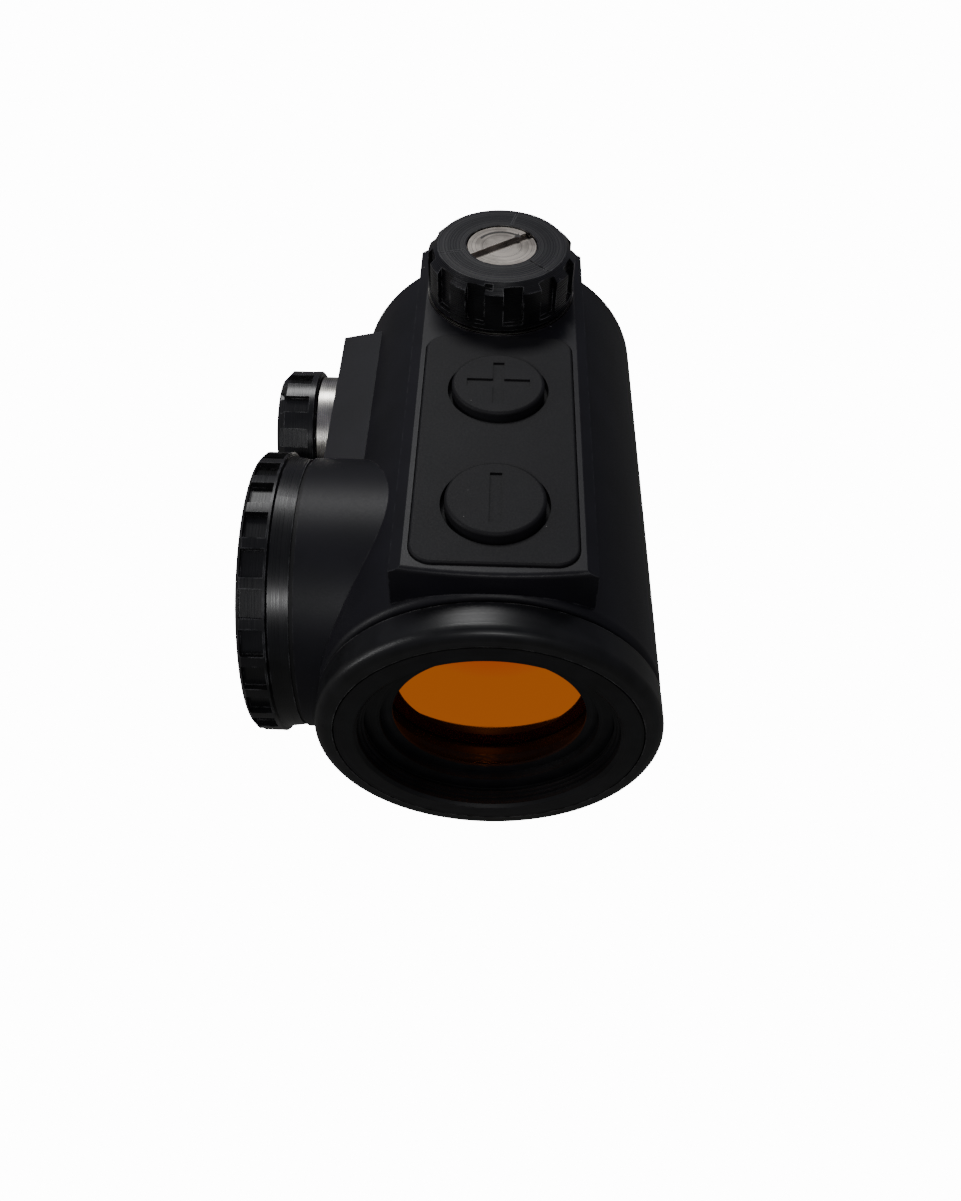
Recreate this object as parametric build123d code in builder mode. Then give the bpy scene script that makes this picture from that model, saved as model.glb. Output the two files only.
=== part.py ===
from build123d import *
import math
import os

# ---------------------------------------------------------------- driving dimensions (mm)
# Frame: +Z up, the objective end looks along -Y, the battery and windage side is -X.
# The origin is the centre of the flat mounting face under the body.

body_length = 63.0            # front face of the bezel to the rear face
tube_radius = 18.6
tube_wall = 3.0
foot_rise = 3.4               # underside of the tube above the mounting face

axis_height = tube_radius + foot_rise    # sight line above the mounting face
chamber_radius = tube_radius - tube_wall

front_y = -body_length / 2
thread_gap = 0.05             # radial gap of every threaded joint
running_gap = 0.05            # radial gap of every shaft or pin that turns or slides
loose_gap = 0.10              # gap round every piece that is only dropped in
moving_gap = 0.03             # gap between pieces of two bodies that bear on each other

# objective lens
lens_radius = 12.5
lens_front = 5.6
front_element = 1.8
rear_element = 1.8
cement_rise = 0.6             # of the face the two elements share
gasket = 0.4
lens_shoulder = 1.0
lens_shoulder_radius = lens_radius - 1.9

# objective end
insert_flange_radius = tube_radius - 2.15
insert_flange_depth = 0.95
insert_thread_radius = insert_flange_radius - 1.6
opening_radius = insert_flange_radius - 2.05
insert_bore_radius = opening_radius - 0.7
aperture_radius = lens_radius - 2.0
aperture_depth = 3.3
aperture_web = 1.0
aperture_edge = 0.3           # left square at the bore of the web
aperture_bevel = 0.9
step_radius = aperture_radius + 1.3
seam_gap = 0.15
bezel_length = 3.9
bezel_pocket_depth = 0.8
bezel_pocket_start = 1.7
bezel_pocket_angle = 45.0
bezel_pocket_turn = 37.5
bezel_groove = 0.7
bezel_groove_depth = 1.4
nose_wall = 1.2

# rear window
window_radius = chamber_radius + 0.6
window_thickness = 2.0
rear_ring_length = 2.3
rear_ring_inset = 0.4
rear_ring_opening = window_radius - 3.0
rear_seal_thickness = 0.5

# deck and keypad
deck_front = 5.0              # at its middle
deck_bow = 0.8                # middle of the front edge ahead of its corners
deck_edge = 0.5
deck_rear = 60.0
deck_top = tube_radius + 2.5
deck_half_width = 10.1
deck_flat_half_width = 8.9
deck_shoulder_drop = 0.7
pad_front = 6.3
pad_rear = 41.6
pad_half_width = 8.3
pad_corner = 2.4
pad_stand = 0.35              # keypad mat above the deck
pad_bottom = deck_top - 1.1
pad_web = 0.3
button_radius = 5.1
button_ring_gap = 0.45
button_stand = 1.0            # buttons above the mat
button_travel = 0.4
button_stem_radius = 1.5
minus_station = 14.2
plus_station = 31.9
mark_length = 6.9
mark_width = 1.25
mark_depth = 0.2
board_floor = deck_top - 2.8
board_thickness = 0.8
board_inset = 1.5
dome_radius = 2.2
dome_height = 0.3
board_screw_radius = 0.8
board_screw_depth = 1.6
board_screw_inset = 1.8
wire_radius = 0.6

# foot
foot_width = 19.0
foot_length = 44.0
foot_hole_x = 12.0
foot_hole_y = 32.0
foot_hole_radius = 1.6
foot_hole_depth = 5.0
foot_slot_width = 6.3
foot_slot_depth = 1.6
foot_slot_station = 9.0       # behind the centre of the foot

# turrets
turret_station = 51.0
windage_station = 48.5
windage_drop = 0.9            # windage screw below the sight line
knob_radius = 8.7
elevation_knob_height = 6.0
windage_knob_height = 5.0
knob_chamfer = 1.1
knob_grips = 12
knob_grip_width = 2.3
knob_grip_depth = 0.7
knob_grip_low = 0.9
knob_cavity_radius = 5.8
knob_cavity_height = 3.6
knob_mark_width = 0.18
knob_grip_turn = 10.0
knob_mark_turn = 76.0
knob_notch_turn = -100.0
knob_notch_width = 1.0
knob_notch_depth = 0.75
screw_disc_radius = 4.15
screw_disc_depth = 0.75
screw_disc_sink = 0.15
screw_slot_width = 1.3
screw_slot_depth = 0.55
screw_slot_angle = 36.0
screw_shank_radius = 2.5
screw_thread_radius = 1.45
elevation_ring_radius = 8.75
windage_ring_radius = 8.0
base_gap = 0.15               # knob to base ring
base_stem_radius = 6.2
base_neck_radius = 5.2
base_neck_height = 3.4
click_teeth = 60
click_radius = 6.9
click_ball_radius = 0.6
seal_wire_radius = 0.3
seal_height = 1.9
click_pocket_depth = 2.2
screw_collar = 0.3            # shank end above the plunger's pocket

# windage boss
boss_face = tube_radius + 2.1
boss_half_height = 8.9
boss_rise = 1.2
boss_front = 30.0
boss_rear = 57.4

# heights of the turret pieces above the sight line
elevation_seat = deck_top + 0.3
elevation_spotface = deck_top - 0.5
windage_seat = boss_face + 2.6
windage_spotface = boss_face - 0.2
base_stem_end = chamber_radius + 0.35

# inner tube and its pivot
inner_radius = 12.4
inner_wall = 1.2
inner_front = 11.6
inner_rear = 55.5
pivot_station = 14.2
gimbal_inner_radius = inner_radius + 0.8
gimbal_outer_radius = chamber_radius - 0.6
gimbal_width = 3.6
pin_radius = 0.75
side_pin_reach = chamber_radius + 1.6
push_pad = inner_radius + 0.8           # flats on the inner tube, above the sight line
push_pad_size = 7.0
plunger_hex_radius = 3.2
plunger_tip_gap = 0.07        # lets the flat on the tube tip under the plunger
plunger_tip = push_pad + plunger_tip_gap
plunger_hole_floor = plunger_tip + 1.17
plunger_pocket_top = chamber_radius + 3.9
plunger_top = plunger_pocket_top - 0.8
screw_thread_end = plunger_hole_floor + 1.0
spring_width = 5.0
spring_thickness = 0.4
spring_half_span = 5.6
emitter_block = 2.4
emitter_chip = 1.2
emitter_station = 52.5

# battery compartment
battery_station = 21.4
battery_drop = 1.5
cell_radius = 10.0
cell_thickness = 3.2
well_radius = cell_radius + 0.6
well_floor = chamber_radius + 1.6
neck_radius = well_radius + 3.0
neck_length = 3.2
barrel_radius = neck_radius + 2.4
barrel_reach = well_floor + 3.9
control_board_thickness = 0.8
minus_contact_height = 0.8
seal_thickness = 0.45
cap_rim_start = barrel_reach + 2.8
cap_rim_width = 3.2
cap_rim_radius = barrel_radius + 0.6
cap_band_radius = barrel_radius + 0.1
cap_skirt_radius = barrel_radius - 0.2
cap_grips = 24
cap_grip_width = 3.1
cap_grip_depth = 0.9
cap_lip = 0.35
cap_coin_slot_width = 2.0
cap_coin_slot_depth = 1.0
wire_clear = 1.65             # wire passage outside the chamber
wire_low_run = 4.5
wire_high_run = 5.4
plus_contact_height = 0.9

# ---------------------------------------------------------------- frames used by the pieces
sight_axis = Axis((0, front_y, axis_height), (0, 1, 0))
section = Plane(origin=(0, front_y, axis_height), x_dir=(0, 1, 0), z_dir=(1, 0, 0))


def across(depth):
    """Plane square to the sight line, this far behind the front face; its y is up, its x is -X."""
    return Plane(origin=(0, front_y + depth, axis_height), x_dir=(-1, 0, 0), z_dir=(0, 1, 0))


def level(height):
    """Horizontal plane, this far above the sight line, with y = 0 at the front face."""
    return Plane(origin=(0, front_y, axis_height + height), x_dir=(1, 0, 0), z_dir=(0, 0, 1))


def battery_plane(reach):
    """Plane square to the battery axis, this far out on the battery side."""
    middle = (-reach, front_y + battery_station, axis_height - battery_drop)
    return Plane(origin=middle, x_dir=(0, 1, 0), z_dir=(-1, 0, 0))


def elevation_plane(height):
    """Plane square to the elevation screw, this far above the sight line."""
    return Plane(origin=(0, front_y + turret_station, axis_height + height), x_dir=(1, 0, 0), z_dir=(0, 0, 1))


def windage_plane(height):
    """Plane square to the windage screw, this far out from the sight line."""
    middle = (-height, front_y + windage_station, axis_height - windage_drop)
    return Plane(origin=middle, x_dir=(0, 1, 0), z_dir=(-1, 0, 0))


def save(piece, name):
    """Labels a finished piece and writes it under its node's name."""
    piece.part.label = name
    export_step(piece.part, f"parts/{name}.step")


os.makedirs("parts", exist_ok=True)

# sizes that follow from the ones above
flange_front = bezel_length + bezel_groove
lens_seat = lens_front + front_element + rear_element + gasket
chamber_front = lens_seat + lens_shoulder
rear_ring_front = body_length - rear_ring_inset - rear_ring_length
window_front = rear_ring_front - window_thickness
chamber_rear = window_front - rear_seal_thickness
nose_radius = insert_thread_radius + thread_gap + nose_wall
pad_top = deck_top + pad_stand
button_top = pad_top + button_stand
button_bottom = pad_bottom + pad_web + button_travel + moving_gap
dome_top = board_floor + board_thickness + dome_height
pad_length = pad_rear - pad_front
pad_middle = (pad_rear + pad_front) / 2
board_half_width = pad_half_width - board_inset
board_length = pad_length - 2 * board_inset
cap_outer_face = cap_rim_start + cap_rim_width
cell_inner_face = well_floor + loose_gap + control_board_thickness + minus_contact_height
cell_outer_face = cell_inner_face + cell_thickness
cap_boss_face = cell_outer_face + plus_contact_height
cap_inner_face = barrel_reach + neck_length + loose_gap
cap_skirt_face = barrel_reach + seal_thickness + moving_gap
inner_length = inner_rear - inner_front
cement_radius = (lens_radius**2 + cement_rise**2) / (2 * cement_rise)
cement_centre = front_y + lens_front + front_element - cement_radius
wedge_x = 2 * tube_radius * math.cos(math.radians(bezel_pocket_angle / 2))
wedge_y = 2 * tube_radius * math.sin(math.radians(bezel_pocket_angle / 2))
click_ball_height = click_ball_radius - base_gap + moving_gap
cap_seal_radius = cap_skirt_radius - 0.2
spring_foot = math.sqrt(chamber_radius**2 - (spring_width / 2) ** 2) - loose_gap
spring_crown = inner_radius + moving_gap + spring_thickness
spring_start = turret_station - spring_half_span
spring_end = turret_station + spring_half_span
spring_plane = Plane(origin=(0, front_y, axis_height), x_dir=(0, 1, 0), z_dir=(-1, 0, -1))
emitter_offset = (inner_radius - inner_wall - emitter_block / 2) * math.sqrt(0.5)
board_screw_front = pad_middle - board_length / 2 + board_screw_inset
board_screw_rear = pad_middle + board_length / 2 - board_screw_inset
battery_axis = Axis((0, front_y + battery_station, axis_height - battery_drop), (-1, 0, 0))
battery_section = Plane(
    origin=(0, front_y + battery_station, axis_height - battery_drop), x_dir=(-1, 0, 0), z_dir=(0, 1, 0)
)
wire_side = (chamber_radius + wire_clear) * math.sqrt(0.5)
wire_start = Vector(-wire_side - wire_low_run, front_y + battery_station, axis_height + wire_side - wire_low_run)
wire_end = Vector(wire_high_run - wire_side, front_y + battery_station, axis_height + wire_side + wire_high_run)
wire_way = (wire_end - wire_start).normalized()
wire_length = (wire_end - wire_start).length
pivot_middle = (0, front_y + pivot_station, axis_height)
pivot_plane = Plane(origin=pivot_middle, x_dir=(1, 0, 0), z_dir=(0, 0, 1))
side_pivot_plane = Plane(origin=pivot_middle, x_dir=(0, 1, 0), z_dir=(1, 0, 0))

# ---------------------------------------------------------------- housing
# Raised deck for the keypad and the elevation turret, with a bowed front edge.
with BuildPart() as deck:
    with BuildSketch(across(deck_front)):
        with BuildLine():
            Polyline(
                (-deck_half_width, 0),
                (-deck_half_width, deck_top - deck_shoulder_drop),
                (-deck_flat_half_width, deck_top),
                (deck_flat_half_width, deck_top),
                (deck_half_width, deck_top - deck_shoulder_drop),
                (deck_half_width, 0),
                close=True,
            )
        make_face()
    extrude(amount=deck_rear - deck_front)
    with BuildSketch(level(0)):
        with BuildLine():
            ThreePointArc(
                (-deck_half_width, deck_front + deck_bow), (0, deck_front), (deck_half_width, deck_front + deck_bow)
            )
            Polyline(
                (deck_half_width, deck_front + deck_bow),
                (deck_half_width, deck_rear),
                (-deck_half_width, deck_rear),
                (-deck_half_width, deck_front + deck_bow),
            )
        make_face()
    extrude(amount=deck_top, mode=Mode.INTERSECT)
    fillet(deck.edges().filter_by(GeomType.CIRCLE).group_by(Axis.Z)[-1], radius=deck_edge)

# One machined aluminium body: tube, keypad deck, windage boss, battery barrel and foot.
with BuildPart() as housing:
    with BuildSketch(across(flange_front)):
        Circle(tube_radius)
    extrude(amount=body_length - flange_front)
    fillet(housing.edges().group_by(Axis.Y)[0], radius=0.9)
    chamfer(housing.edges().group_by(Axis.Y)[-1], length=0.6)
    # groove behind the bezel and the threaded nose that carries it
    with BuildSketch(across(insert_flange_depth)):
        Circle(nose_radius)
    extrude(amount=flange_front)
    with BuildSketch(across(bezel_length)):
        Circle(tube_radius - bezel_groove_depth)
    extrude(amount=2 * bezel_groove)
    add(deck.part)
    # windage boss, with a sloping top that runs into the tube
    with BuildSketch(across(boss_front)):
        with BuildLine():
            Polyline(
                (0, -boss_half_height - boss_rise),
                (chamber_radius, -boss_half_height - boss_rise),
                (boss_face, -boss_half_height),
                (boss_face, boss_half_height),
                (chamber_radius, boss_half_height + boss_rise),
                (0, boss_half_height + boss_rise),
                close=True,
            )
        make_face()
    extrude(amount=boss_rear - boss_front)
    # battery barrel and the threaded neck that takes its cap
    with BuildSketch(battery_plane(0)):
        Circle(barrel_radius)
    extrude(amount=barrel_reach)
    with BuildSketch(battery_plane(barrel_reach)):
        Circle(neck_radius)
    extrude(amount=neck_length)
    # foot
    with BuildSketch(Plane.XY):
        RectangleRounded(foot_width, foot_length, 1.5)
    extrude(amount=axis_height)
    # through bore, in its steps from the front to the rear
    with BuildSketch(across(0)):
        Circle(insert_thread_radius + thread_gap)
    extrude(amount=lens_front - 0.2, mode=Mode.SUBTRACT)
    with BuildSketch(across(0)):
        Circle(lens_radius + loose_gap)
    extrude(amount=lens_seat, mode=Mode.SUBTRACT)
    with BuildSketch(across(0)):
        Circle(lens_shoulder_radius)
    extrude(amount=body_length, mode=Mode.SUBTRACT)
    with BuildSketch(across(chamber_front)):
        Circle(chamber_radius)
    extrude(amount=body_length, mode=Mode.SUBTRACT)
    with BuildSketch(across(chamber_rear)):
        Circle(window_radius + loose_gap)
    extrude(amount=body_length, mode=Mode.SUBTRACT)
    # keypad recess, board pocket and the two board screw holes
    with BuildSketch(level(pad_bottom)):
        with Locations((0, pad_middle)):
            RectangleRounded(2 * (pad_half_width + loose_gap), pad_length + 2 * loose_gap, pad_corner)
    extrude(amount=deck_top, mode=Mode.SUBTRACT)
    with BuildSketch(level(board_floor)):
        with Locations((0, pad_middle)):
            RectangleRounded(2 * (board_half_width + loose_gap), board_length + 2 * loose_gap, 1.0)
    extrude(amount=deck_top, mode=Mode.SUBTRACT)
    with BuildSketch(level(board_floor)):
        with Locations((0, board_screw_front), (0, board_screw_rear)):
            Circle(board_screw_radius)
    extrude(amount=-board_screw_depth, mode=Mode.SUBTRACT)
    # turret holes and their spot faces
    for turret_plane, spotface, ring_radius in (
        (elevation_plane, elevation_spotface, elevation_ring_radius),
        (windage_plane, windage_spotface, windage_ring_radius),
    ):
        with BuildSketch(turret_plane(0)):
            Circle(base_stem_radius + thread_gap)
        extrude(amount=2 * tube_radius, mode=Mode.SUBTRACT)
        with BuildSketch(turret_plane(spotface)):
            Circle(ring_radius + loose_gap)
        extrude(amount=tube_radius, mode=Mode.SUBTRACT)
    # battery well and the passage for the wires up to the keypad
    with BuildSketch(battery_plane(well_floor)):
        Circle(well_radius)
    extrude(amount=barrel_reach, mode=Mode.SUBTRACT)
    with BuildSketch(Plane(origin=wire_start - wire_way, z_dir=wire_way)):
        Circle(wire_radius + 3 * loose_gap)
    extrude(amount=wire_length + 2, mode=Mode.SUBTRACT)
    # gimbal pin holes
    with BuildSketch(side_pivot_plane):
        Circle(pin_radius)
    extrude(amount=side_pin_reach, both=True, mode=Mode.SUBTRACT)
    # mounting holes and the recoil slot
    with BuildSketch(Plane.XY):
        with GridLocations(foot_hole_x, foot_hole_y, 2, 2):
            Circle(foot_hole_radius)
    extrude(amount=foot_hole_depth, mode=Mode.SUBTRACT)
    with BuildSketch(Plane.XY):
        with Locations((0, foot_slot_station)):
            Rectangle(2 * foot_width, foot_slot_width)
    extrude(amount=foot_slot_depth, mode=Mode.SUBTRACT)
save(housing, "housing")

# ---------------------------------------------------------------- objective end
# Outer bezel ring, trapped on the nose by the flange of the insert.
with BuildPart() as front_bezel_ring:
    with BuildSketch(across(0)):
        Circle(tube_radius)
        Circle(insert_flange_radius + seam_gap, mode=Mode.SUBTRACT)
    extrude(amount=bezel_length)
    with BuildSketch(across(insert_flange_depth + moving_gap)):
        Circle(insert_flange_radius + 2 * seam_gap)
        Circle(nose_radius + thread_gap, mode=Mode.SUBTRACT)
    extrude(amount=bezel_length - bezel_groove - insert_flange_depth - moving_gap)
    outer_front = front_bezel_ring.edges().filter_by(GeomType.CIRCLE).group_by(Axis.Y)[0].sort_by(SortBy.RADIUS)[-1]
    fillet(outer_front, radius=1.2)
    for corner in range(4):
        with BuildSketch(across(bezel_pocket_start).rotated((0, 0, bezel_pocket_turn + 90 * corner))):
            with BuildLine():
                Polyline((0, 0), (wedge_x, -wedge_y), (wedge_x, wedge_y), close=True)
            make_face()
            Circle(tube_radius - bezel_pocket_depth, mode=Mode.SUBTRACT)
        extrude(amount=bezel_length, mode=Mode.SUBTRACT)
save(front_bezel_ring, "front_bezel_ring")

# Threaded insert: the flat face ring, the stepped throat and the aperture, pressing on the lens.
with BuildPart() as lens_retaining_ring:
    with BuildSketch(section):
        with BuildLine():
            Polyline(
                (0, opening_radius),
                (0.35, opening_radius - 0.35),
                (1.0, opening_radius - 0.35),
                (1.0, insert_bore_radius),
                (1.35, insert_bore_radius),
                (1.35, insert_bore_radius - 0.3),
                (1.7, insert_bore_radius - 0.3),
                (1.7, insert_bore_radius),
                (2.3, insert_bore_radius),
                (2.3, step_radius),
                (aperture_depth, step_radius),
                (aperture_depth, aperture_radius),
                (aperture_depth + aperture_edge, aperture_radius),
                (aperture_depth + aperture_web, aperture_radius + aperture_bevel),
                (aperture_depth + aperture_web, lens_radius - 0.9),
                (lens_front, lens_radius - 0.9),
                (lens_front, lens_radius),
                (aperture_depth + aperture_web, lens_radius),
                (aperture_depth + aperture_web, insert_thread_radius),
                (insert_flange_depth, insert_thread_radius),
                (insert_flange_depth, insert_flange_radius),
                (0, insert_flange_radius),
                close=True,
            )
        make_face()
    revolve(axis=sight_axis)
save(lens_retaining_ring, "lens_retaining_ring")

# Cemented doublet: two discs that share a shallow spherical face.
with BuildPart() as objective_front_element:
    with BuildSketch(across(lens_front)):
        Circle(lens_radius)
    extrude(amount=front_element)
    with Locations((0, cement_centre, axis_height)):
        Sphere(cement_radius, mode=Mode.INTERSECT)
save(objective_front_element, "objective_front_element")

with BuildPart() as objective_rear_element:
    with BuildSketch(across(lens_front)):
        Circle(lens_radius)
    extrude(amount=front_element + rear_element)
    with Locations((0, cement_centre, axis_height)):
        Sphere(cement_radius, mode=Mode.SUBTRACT)
save(objective_rear_element, "objective_rear_element")

with BuildPart() as objective_seal:
    with BuildSketch(across(lens_seat - gasket)):
        Circle(lens_radius)
        Circle(lens_shoulder_radius + 0.3, mode=Mode.SUBTRACT)
    extrude(amount=gasket)
save(objective_seal, "objective_seal")

# ---------------------------------------------------------------- eyepiece end
with BuildPart() as rear_window_seal:
    with BuildSketch(across(chamber_rear)):
        Circle(window_radius)
        Circle(chamber_radius - 1.0, mode=Mode.SUBTRACT)
    extrude(amount=rear_seal_thickness)
save(rear_window_seal, "rear_window_seal")

with BuildPart() as rear_window:
    with BuildSketch(across(window_front)):
        Circle(window_radius)
    extrude(amount=window_thickness)
save(rear_window, "rear_window")

# Threaded ring with two spanner slots that holds the window in.
with BuildPart() as rear_retaining_ring:
    with BuildSketch(across(rear_ring_front)):
        Circle(window_radius + loose_gap - thread_gap)
        Circle(rear_ring_opening, mode=Mode.SUBTRACT)
    extrude(amount=rear_ring_length)
    inner_rear = rear_retaining_ring.edges().group_by(Axis.Y)[-1].sort_by(SortBy.RADIUS)[0]
    chamfer(inner_rear, length=0.8)
    with BuildSketch(across(rear_ring_front + rear_ring_length)):
        with Locations((window_radius - 0.6, 0), (0.6 - window_radius, 0)):
            Rectangle(3.0, 1.6)
    extrude(amount=-1.0, mode=Mode.SUBTRACT)
save(rear_retaining_ring, "rear_retaining_ring")

# ---------------------------------------------------------------- inner tube on its gimbal
with BuildPart() as inner_tube:
    with BuildSketch(across(inner_front)):
        Circle(inner_radius)
    extrude(amount=inner_length)
    for push_plane in (elevation_plane(0), windage_plane(0)):
        with BuildSketch(push_plane):
            RectangleRounded(push_pad_size, push_pad_size, 0.6)
        extrude(amount=push_pad)
    with BuildSketch(across(inner_front)):
        Circle(inner_radius - inner_wall)
    extrude(amount=inner_length, mode=Mode.SUBTRACT)
    with BuildSketch(pivot_plane):
        Circle(pin_radius + running_gap)
    extrude(amount=gimbal_outer_radius, both=True, mode=Mode.SUBTRACT)
save(inner_tube, "inner_tube")

with BuildPart() as gimbal_ring:
    with BuildSketch(across(pivot_station - gimbal_width / 2)):
        Circle(gimbal_outer_radius)
        Circle(gimbal_inner_radius, mode=Mode.SUBTRACT)
    extrude(amount=gimbal_width)
    with BuildSketch(pivot_plane):
        Circle(pin_radius)
    extrude(amount=gimbal_outer_radius, both=True, mode=Mode.SUBTRACT)
    with BuildSketch(side_pivot_plane):
        Circle(pin_radius + running_gap)
    extrude(amount=gimbal_outer_radius, both=True, mode=Mode.SUBTRACT)
save(gimbal_ring, "gimbal_ring")

# Side pins sit in the housing and carry the ring; upright pins sit in the ring and carry the tube.
with BuildPart() as gimbal_side_pins:
    for side in (1, -1):
        with BuildSketch(side_pivot_plane.offset(side * (gimbal_inner_radius + 0.2))):
            Circle(pin_radius)
        extrude(amount=side * (side_pin_reach - gimbal_inner_radius - 0.2))
save(gimbal_side_pins, "gimbal_side_pins")

with BuildPart() as gimbal_upright_pins:
    for side in (1, -1):
        with BuildSketch(pivot_plane.offset(side * (inner_radius - inner_wall + 0.2))):
            Circle(pin_radius)
        extrude(amount=side * (gimbal_outer_radius - inner_radius + inner_wall - 0.5))
save(gimbal_upright_pins, "gimbal_upright_pins")

# Arched leaf spring that pushes the inner tube up and towards the windage screw.
with BuildPart() as bias_spring:
    with BuildSketch(spring_plane):
        with BuildLine():
            ThreePointArc((spring_start, spring_foot), (turret_station, spring_crown), (spring_end, spring_foot))
            Line((spring_end, spring_foot), (spring_end, spring_foot - spring_thickness))
            ThreePointArc(
                (spring_end, spring_foot - spring_thickness),
                (turret_station, spring_crown - spring_thickness),
                (spring_start, spring_foot - spring_thickness),
            )
            Line((spring_start, spring_foot - spring_thickness), (spring_start, spring_foot))
        make_face()
    extrude(amount=spring_width / 2, both=True)
save(bias_spring, "bias_spring")

# Emitter block inside the inner tube, low on the right, and the chip on its front face.
with BuildPart() as emitter_holder:
    with BuildSketch(across(emitter_station)):
        Circle(inner_radius - inner_wall)
        Circle(inner_radius - inner_wall - emitter_block, mode=Mode.SUBTRACT)
        with BuildLine():
            Polyline((0, 0), (-inner_radius, -3 * inner_radius), (-3 * inner_radius, -inner_radius), close=True)
        make_face(mode=Mode.INTERSECT)
    extrude(amount=emitter_block)
save(emitter_holder, "emitter_holder")

with BuildPart() as led_emitter:
    with BuildSketch(across(emitter_station)):
        with Locations((-emitter_offset, -emitter_offset)):
            Rectangle(emitter_chip, emitter_chip)
    extrude(amount=-emitter_chip / 2)
save(led_emitter, "led_emitter")

# ---------------------------------------------------------------- turrets
# The same set of pieces above the tube for elevation and on its side for windage.
for side, turret_plane, seat, spotface, ring_radius, knob_height in (
    ("elevation", elevation_plane, elevation_seat, elevation_spotface, elevation_ring_radius, elevation_knob_height),
    ("windage", windage_plane, windage_seat, windage_spotface, windage_ring_radius, windage_knob_height),
):
    outward = Axis((0, 0, 0), turret_plane(0).z_dir)
    disc_floor = seat + knob_height - screw_disc_sink - screw_disc_depth

    # plated ring screwed into the housing, with the neck that the knob turns on
    with BuildPart() as turret_base:
        with BuildSketch(turret_plane(spotface)):
            Circle(ring_radius)
        extrude(amount=seat - base_gap - spotface)
        with BuildSketch(turret_plane(spotface)):
            Circle(base_stem_radius)
        extrude(amount=base_stem_end - spotface)
        with BuildSketch(turret_plane(seat - base_gap)):
            Circle(base_neck_radius)
        extrude(amount=base_neck_height)
        with BuildSketch(turret_plane(seat + seal_height - seal_wire_radius - loose_gap)):
            Circle(base_neck_radius + 1)
            Circle(base_neck_radius - loose_gap, mode=Mode.SUBTRACT)
        extrude(amount=2 * (seal_wire_radius + loose_gap), mode=Mode.SUBTRACT)
        with BuildSketch(turret_plane(0)):
            Circle(screw_shank_radius + running_gap)
        extrude(amount=2 * tube_radius, mode=Mode.SUBTRACT)
        with BuildSketch(turret_plane(0)):
            RegularPolygon(plunger_hex_radius + running_gap, 6)
        extrude(amount=plunger_pocket_top, mode=Mode.SUBTRACT)
        with BuildSketch(turret_plane(seat - base_gap)):
            with PolarLocations(click_radius, click_teeth):
                Rectangle(1.4, 0.3)
        extrude(amount=-0.12, mode=Mode.SUBTRACT)
    save(turret_base, f"{side}_turret_base")

    with BuildPart(turret_plane(seat + seal_height)) as knob_seal:
        Torus(base_neck_radius - loose_gap + seal_wire_radius, seal_wire_radius)
    save(knob_seal, f"{side}_knob_seal")

    # knurled knob
    with BuildPart() as knob:
        with BuildSketch(turret_plane(seat)):
            Circle(knob_radius)
        extrude(amount=knob_height)
        chamfer(knob.faces().sort_by(outward)[-1].edges(), length=knob_chamfer)
        chamfer(knob.faces().sort_by(outward)[0].edges(), length=0.25)
        with BuildSketch(turret_plane(seat)):
            Circle(knob_cavity_radius)
        extrude(amount=knob_cavity_height, mode=Mode.SUBTRACT)
        with BuildSketch(turret_plane(seat)):
            Circle(screw_shank_radius)
        extrude(amount=knob_height, mode=Mode.SUBTRACT)
        with BuildSketch(turret_plane(disc_floor)):
            Circle(screw_disc_radius + loose_gap / 2)
        extrude(amount=knob_height, mode=Mode.SUBTRACT)
        with BuildSketch(turret_plane(seat + knob_grip_low)):
            with PolarLocations(knob_radius, knob_grips, start_angle=knob_grip_turn):
                Rectangle(2 * knob_grip_depth, knob_grip_width)
        extrude(amount=knob_height - knob_grip_low, mode=Mode.SUBTRACT)
        with BuildSketch(turret_plane(seat + knob_height)):
            with PolarLocations((screw_disc_radius + knob_radius) / 2 - 0.4, 3, start_angle=knob_mark_turn):
                Rectangle(knob_radius - screw_disc_radius - 1.6, knob_mark_width)
        extrude(amount=-0.12, mode=Mode.SUBTRACT)
        with BuildSketch(turret_plane(seat + knob_height)):
            with PolarLocations(knob_radius + 0.2, 1, start_angle=knob_notch_turn):
                Rectangle(2 * knob_chamfer, knob_notch_width)
        extrude(amount=-knob_notch_depth, mode=Mode.SUBTRACT)
        with BuildSketch(turret_plane(seat)):
            with Locations((click_radius, 0)):
                Circle(click_ball_radius + running_gap)
        extrude(amount=click_pocket_depth, mode=Mode.SUBTRACT)
    save(knob, f"{side}_knob")

    # slotted screw, fixed in the knob, whose thread moves the plunger
    with BuildPart() as adjuster_screw:
        with BuildSketch(turret_plane(disc_floor)):
            Circle(screw_disc_radius)
        extrude(amount=screw_disc_depth)
        chamfer(adjuster_screw.faces().sort_by(outward)[-1].edges(), length=0.12)
        with BuildSketch(turret_plane(disc_floor)):
            Circle(screw_shank_radius)
        extrude(amount=plunger_pocket_top + screw_collar - disc_floor)
        with BuildSketch(turret_plane(disc_floor)):
            Circle(screw_thread_radius)
        extrude(amount=screw_thread_end - disc_floor)
        with BuildSketch(turret_plane(disc_floor + screw_disc_depth)):
            Rectangle(3 * screw_disc_radius, screw_slot_width, rotation=screw_slot_angle)
        extrude(amount=-screw_slot_depth, mode=Mode.SUBTRACT)
    save(adjuster_screw, f"{side}_adjuster_screw")

    # six-sided plunger that can't turn, so the screw moves it in and out
    with BuildPart() as plunger:
        with BuildSketch(turret_plane(plunger_tip)):
            RegularPolygon(plunger_hex_radius, 6)
        extrude(amount=plunger_top - plunger_tip)
        chamfer(plunger.faces().sort_by(outward)[0].edges(), length=0.6)
        with BuildSketch(turret_plane(plunger_hole_floor)):
            Circle(screw_thread_radius + running_gap)
        extrude(amount=plunger_top, mode=Mode.SUBTRACT)
    save(plunger, f"{side}_plunger")

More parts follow.
